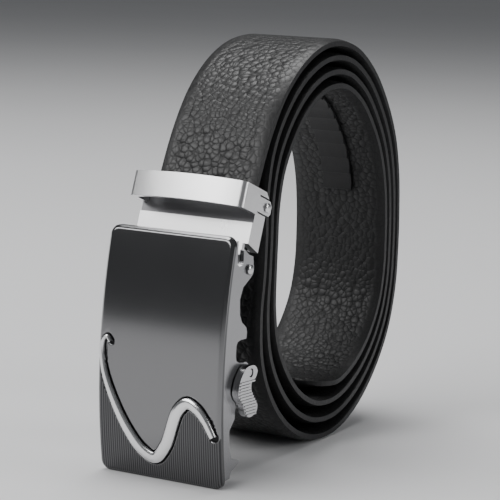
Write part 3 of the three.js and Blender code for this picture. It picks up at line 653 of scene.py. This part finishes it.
def beside_wave(across, up):
    """How far points of the cover's face lie outside the ridge's edge."""
    distance = np.full(across.shape, np.inf)
    for (x, z), half in zip(*wave_route()):
        distance = np.minimum(distance, np.hypot(across - x, up - z) - half)
    return distance


def below_wave(across, up):
    """How far points of the cover's face lie below the wave's line, apart from its hook."""
    line = wave_points()[WAVE_HOOK_ROWS:]
    return np.interp(across, line[:, 0], line[:, 1]) - up


def cover_relief(across, up, beside, below):
    """How far the face is cut back by its chamfer, the groove round the wave and the ribs."""
    inside = inward(across, up)
    short = COVER_CHAMFER - np.maximum(0, inside)
    chamfer = np.minimum((short + np.hypot(short, COVER_CHAMFER_SOFTNESS)) / 2, COVER_CHAMFER)
    groove = GROOVE_DEPTH * (1 - eased(beside, GROOVE_WIDTH / 3, GROOVE_WIDTH))
    ribbed = eased(below, 0, RIB_RISE) * eased(beside, GROOVE_WIDTH, GROOVE_WIDTH + RIB_FROM_GROOVE)
    ribbed *= eased(inside, COVER_CHAMFER, COVER_CHAMFER + RIB_FROM_CHAMFER)
    valley = 0.5 - 0.5 * np.sin(across * 2 * math.pi / RIB_PITCH)
    return chamfer + groove * eased(inside, COVER_CHAMFER / 3, COVER_CHAMFER) + RIB_DEPTH * valley * ribbed


def make_cover():
    across, up = cover_grid()
    beside, below = beside_wave(across, up), below_wave(across, up)
    relief = cover_relief(across, up, beside, below)
    rings, plan, ridge = [], [], []
    for row, z in enumerate(up[:, 0]):
        half = across[row, -1]
        rear = cover_arc(z) + COVER_THICKNESS
        ring = [on_cover(half, rear, z), on_cover(-half, rear, z)]
        ring += [on_cover(x, cover_arc(z) + cut, z) for x, cut in zip(across[row], relief[row])]
        rings.append(ring)
        back = [(half, COVER_LENGTH), (-half, COVER_LENGTH)]
        plan += back + list(zip(across[row], below[row]))
        ridge += back + list(zip(beside[row], up[row]))
    layers = {"plan": plan, "ridge": ridge}
    cover = new_piece("front_cover", *swept(rings), [GUNMETAL], None, layers, sharp=40)
    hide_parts("cover_plate")
    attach(cover, "buckle")


def make_wave():
    route, halves = wave_route()
    along = np.gradient(route, axis=0)
    along /= np.linalg.norm(along, axis=1)[:, None]
    rings = []
    for (x, z), (dx, dz), half in zip(route, along, halves):
        spots = [(x - dz * sideways, out, z + dx * sideways) for sideways, out in ridge_section(half)]
        rings.append([on_cover(px, cover_arc(pz) - out, pz) for px, out, pz in spots])
    ridge = new_piece("wave_ridge", *swept(rings), [POLISHED], sharp=50)
    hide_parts("wave_trim")
    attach(ridge, "buckle")


def shade_and_dull_clamp_wall(clamp):
    """The wall behind the keeper is painted darker, as painted shade in the recess, and is rougher than the
    rest of the clamp.
    """
    clamp.data.materials.append(RECESS_SHADE_METAL)
    facing = Vector(leaning(-1, 0, CLAMP_LEAN))
    wall = Vector((PART_SHIFT + PIVOT + leaning(CLAMP_WALL_FRONT, 0, CLAMP_LEAN)) * MM)
    for polygon in clamp.data.polygons:
        off_wall = abs((polygon.center - wall).dot(facing))
        if polygon.normal.dot(facing) > 0.9 and off_wall < CLAMP_WALL_REACH * MM:
            polygon.material_index = 1


def make_hard_pieces():
    for node, (piece_name, material, width, body, slot) in HARD_PIECES.items():
        part = softened(node, piece_name, material, width)
        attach(part, body)
        if node == "clamp_body":
            # The wall behind the keeper gets painted shade.
            shade_and_dull_clamp_wall(part)


def make_camera():
    azimuth, elevation, roll = (math.radians(v) for v in (CAMERA_AZIMUTH, CAMERA_ELEVATION, CAMERA_ROLL))
    level = math.cos(elevation)
    back = Vector((math.sin(azimuth) * level, -math.cos(azimuth) * level, math.sin(elevation)))
    right = Vector((math.cos(azimuth), math.sin(azimuth), 0))
    up = back.cross(right)
    rolled_right = right * math.cos(roll) - up * math.sin(roll)
    rolled_up = right * math.sin(roll) + up * math.cos(roll)
    data = bpy.data.cameras.new("camera")
    data.sensor_width = SENSOR_MM
    data.lens = CAMERA_FOCAL_PX * SENSOR_MM / IMAGE_PX
    data.clip_start, data.clip_end = 0.01, 100
    camera = bpy.data.objects.new("camera", data)
    camera.matrix_world = Matrix((rolled_right, rolled_up, back)).transposed().to_4x4()
    camera.location = Vector(PART_SHIFT + np.array(CAMERA_FROM_BUCKLE)) * MM
    bpy.context.collection.objects.link(camera)
    bpy.context.scene.camera = camera


def make_floor():
    mesh = bpy.data.meshes.new("floor")
    corners = [(-1, -1), (1, -1), (1, 1), (-1, 1)]
    mesh.from_pydata([(x * FLOOR_REACH, y * FLOOR_REACH, 0) for x, y in corners], [], [(0, 1, 2, 3)])
    mesh.materials.append(floor_paint())
    floor = bpy.data.objects.new("floor", mesh)
    bpy.context.collection.objects.link(floor)


def make_light():
    for name, place, size, power in SOFTBOXES:
        data = bpy.data.lights.new(name, "AREA")
        data.shape = "RECTANGLE"
        data.size, data.size_y = size
        data.energy = power
        light = bpy.data.objects.new(name, data)
        light.location = place
        light.rotation_mode = "QUATERNION"
        light.rotation_quaternion = (Vector(LIGHT_AIM) - Vector(place)).to_track_quat("-Z", "Y")
        bpy.context.collection.objects.link(light)
    world = bpy.data.worlds.new("studio")
    bpy.context.scene.world = world
    world.use_nodes = True
    background = world.node_tree.nodes["Background"]
    background.inputs["Color"].default_value = SKY_COLOUR
    background.inputs["Strength"].default_value = SKY_STRENGTH


make_strap()
make_cover()
make_wave()
make_hard_pieces()
make_camera()
make_floor()
make_light()
